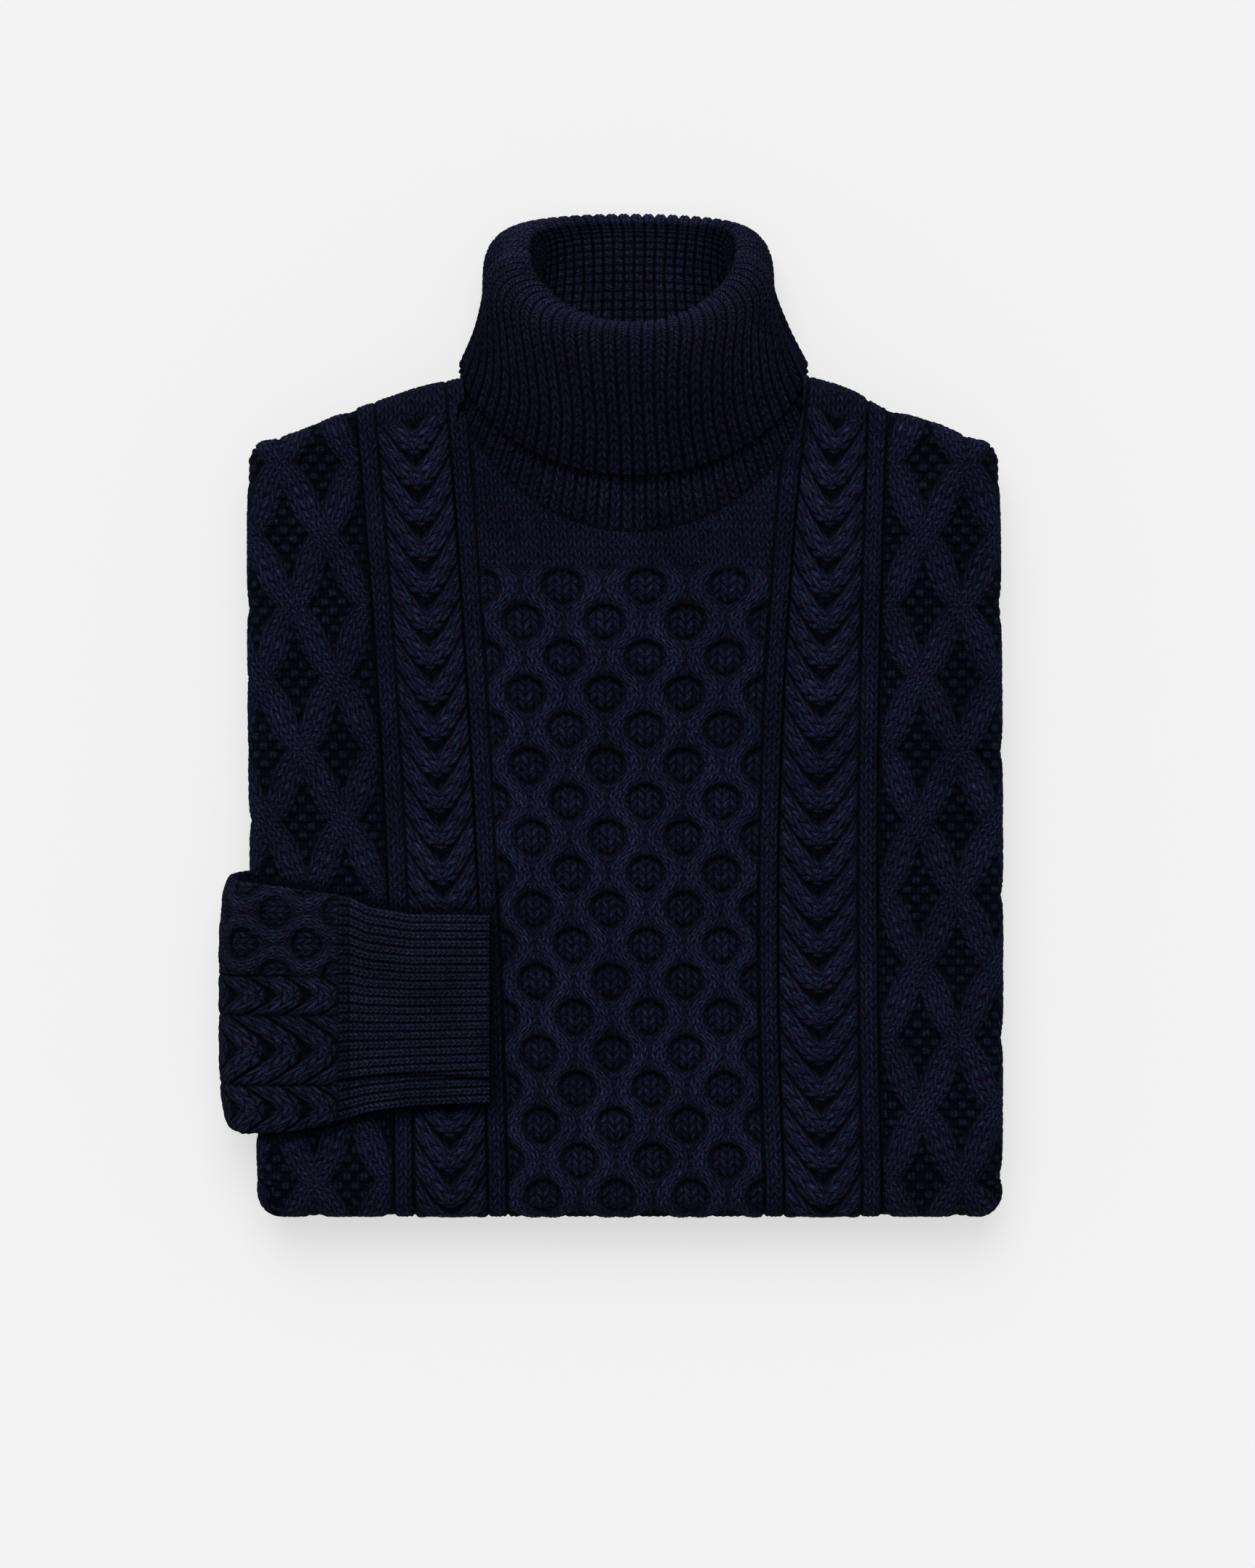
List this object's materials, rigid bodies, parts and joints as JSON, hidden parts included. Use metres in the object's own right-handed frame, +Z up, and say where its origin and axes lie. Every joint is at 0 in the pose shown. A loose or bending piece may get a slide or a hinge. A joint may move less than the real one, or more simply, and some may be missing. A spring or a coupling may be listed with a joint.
{
  "type": "folded aran turtleneck sweater",
  "caption": "Cabled wool sweater with a rolled ribbed neck, folded flat with one cuff laid across its front.",
  "frame": {"origin": "middle of the underside that the folded sweater lies on", "axes": "+Y from the folded hem end to the collar, +X across the chest, +Z up from the surface"},
  "size_m": [0.4318, 0.5546, 0.0577],
  "materials": {
    "front_wool": "matt",
    "back_wool": "matt",
    "collar_wool": "matt",
    "sleeve_wool": "matt",
    "cuff_wool": "matt",
    "folded_wool": "matt"
  },
  "bodies": {
    "root": {"front": "front_wool", "back": "back_wool", "collar": "collar_wool", "sleeve": "sleeve_wool", "cuff": "cuff_wool", "folded_layers": "folded_wool"}
  },
  "joints": []
}
